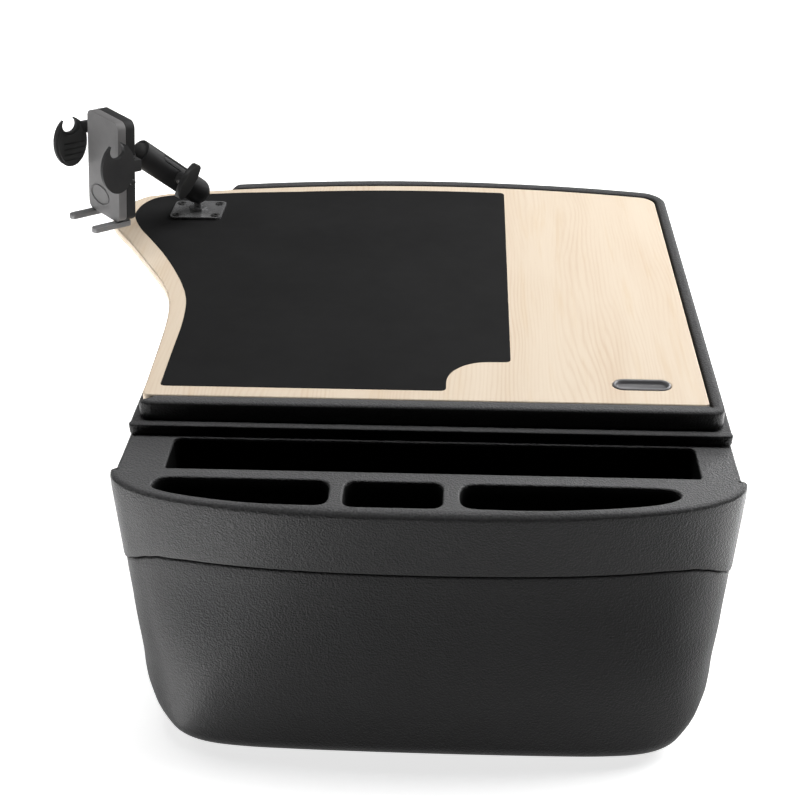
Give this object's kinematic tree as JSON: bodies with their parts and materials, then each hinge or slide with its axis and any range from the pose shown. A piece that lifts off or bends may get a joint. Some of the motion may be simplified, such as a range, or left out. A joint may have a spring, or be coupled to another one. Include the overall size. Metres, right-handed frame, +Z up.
{
  "type": "mobile car seat desk",
  "caption": "Mobile car-seat desk: dark moulded storage base with pen pockets, hinged lid, sliding wooden desktop with inlaid mat and a ball-arm phone cradle.",
  "frame": {"origin": "centre of the storage base on the underside of its rubber pad, the plane it stands on", "axes": "+Z up, -Y towards the user at the pen pockets, +X to the user's right; the wooden desktop's wing and the phone cradle are at -X"},
  "size_m": [0.5944, 0.5999, 0.3707],
  "materials": {
    "tub": "fine leather-grain moulded plastic",
    "deck": "fine leather-grain moulded plastic",
    "cup": "smooth moulded plastic",
    "pad": "matte",
    "rail_steel": "satin black powder coat",
    "screw": "plain",
    "hinge": "satin black",
    "lid": "fine grain moulded plastic",
    "slide": "natural low-friction plastic",
    "tray": "fine leather-grain moulded plastic",
    "wood": "satin clear coat, pale birch",
    "mat": "matte fine texture",
    "cup_trim": "satin",
    "black_metal": "satin black",
    "black_screw": "black oxide",
    "socket_rubber": "matte",
    "arm": "satin composite",
    "knob": "satin",
    "cradle": "satin",
    "claw": "satin",
    "grip": "ribbed"
  },
  "bodies": {
    "base": {"base_tub": "tub", "base_pad": "pad", "deck_collar": "deck", "pen_lip": "deck", "top_deck": "deck", "pen_cup_left": "cup", "pen_cup_centre": "cup", "pen_cup_right": "cup", "divider_panel": "cup", "file_rail_left": "rail_steel", "file_rail_right": "rail_steel", "deck_screws": "screw", "hinge_left_fixed": "hinge", "hinge_right_fixed": "hinge", "hinge_left_pin": "screw", "hinge_right_pin": "screw", "hinge_screws": "screw"},
    "lid": {"lid_plate": "lid", "hinge_left_moving": "hinge", "hinge_right_moving": "hinge", "lid_screws": "screw", "slide_rail_front": "slide", "slide_rail_rear": "slide", "lid_bumpers": "pad"},
    "desktop": {"desktop_tray": "tray", "slide_runner_front": "slide", "slide_runner_rear": "slide", "runner_screws": "screw", "board_screws": "screw", "desktop_board": "wood", "writing_mat": "mat", "finger_cup": "cup_trim", "mount_plate": "black_metal", "mount_screws": "black_screw"},
    "lower_cover": {"lower_ball_cover": "socket_rubber"},
    "arm": {"arm_shell_near": "arm", "arm_shell_far": "arm", "clamp_bolt": "screw"},
    "knob": {"wing_knob": "knob"},
    "upper_cover": {"upper_ball_cover": "socket_rubber"},
    "cradle": {"ball_stud": "black_metal", "cradle_back_shell": "cradle", "cradle_front_cover": "cradle", "cradle_screws": "screw"},
    "jaw_left": {"jaw_left_claw": "claw", "jaw_left_pad": "grip"},
    "jaw_right": {"jaw_right_claw": "claw", "jaw_right_pad": "grip"},
    "button": {"release_button": "knob"},
    "leg_l": {"leg_left": "claw"},
    "leg_r": {"leg_right": "claw"}
  },
  "joints": [
    {"name": "lid_hinge", "type": "hinge", "parent": "base", "child": "lid", "pos_m": [0, 0.2975, 0.229], "axis": [-1, 0, 0], "range_deg": [0, 70]},
    {"name": "desktop_slide", "type": "slide", "parent": "lid", "child": "desktop", "axis": [-1, 0, 0], "range_m": [0, 0.15]},
    {"name": "arm_swivel", "type": "hinge", "parent": "desktop", "child": "lower_cover", "pos_m": [-0.241, 0.224, 0.2707], "axis": [0, 0, 1], "range_deg": [-90, 90]},
    {"name": "arm_tilt", "type": "hinge", "parent": "lower_cover", "child": "arm", "pos_m": [-0.241, 0.224, 0.2707], "axis": [0.7071, -0.7071, 0], "range_deg": [-22, 2]},
    {"name": "wing_knob_turn", "type": "hinge", "parent": "arm", "child": "knob", "pos_m": [-0.26006, 0.20494, 0.29455], "axis": [0.7071, -0.7071, 0], "continuous": true},
    {"name": "head_tilt", "type": "hinge", "parent": "arm", "child": "upper_cover", "pos_m": [-0.28337, 0.18163, 0.32371], "axis": [0.7071, -0.7071, 0], "range_deg": [-20, 20]},
    {"name": "head_roll", "type": "hinge", "parent": "upper_cover", "child": "cradle", "pos_m": [-0.28337, 0.18163, 0.32371], "axis": [-0.7057, -0.7057, 0.0628], "range_deg": [-90, 90]},
    {"name": "jaw_left_slide", "type": "slide", "parent": "cradle", "child": "jaw_left", "axis": [-0.7037, 0.7085, 0.054], "range_m": [-0.006, 0.008]},
    {"name": "jaw_right_slide", "type": "slide", "parent": "cradle", "child": "jaw_right", "axis": [0.7037, -0.7085, -0.054], "range_m": [-0.006, 0.008]},
    {"name": "button_press", "type": "slide", "parent": "cradle", "child": "button", "axis": [-0.7037, 0.7085, 0.054], "range_m": [0, 0.002], "stiffness_N_per_m": 400, "springref_m": -0.002},
    {"name": "leg_left_slide", "type": "slide", "parent": "cradle", "child": "leg_l", "axis": [0.7037, -0.7085, -0.054], "range_m": [0, 0.009]},
    {"name": "leg_right_slide", "type": "slide", "parent": "cradle", "child": "leg_r", "axis": [-0.7037, 0.7085, 0.054], "range_m": [0, 0.009]}
  ]
}
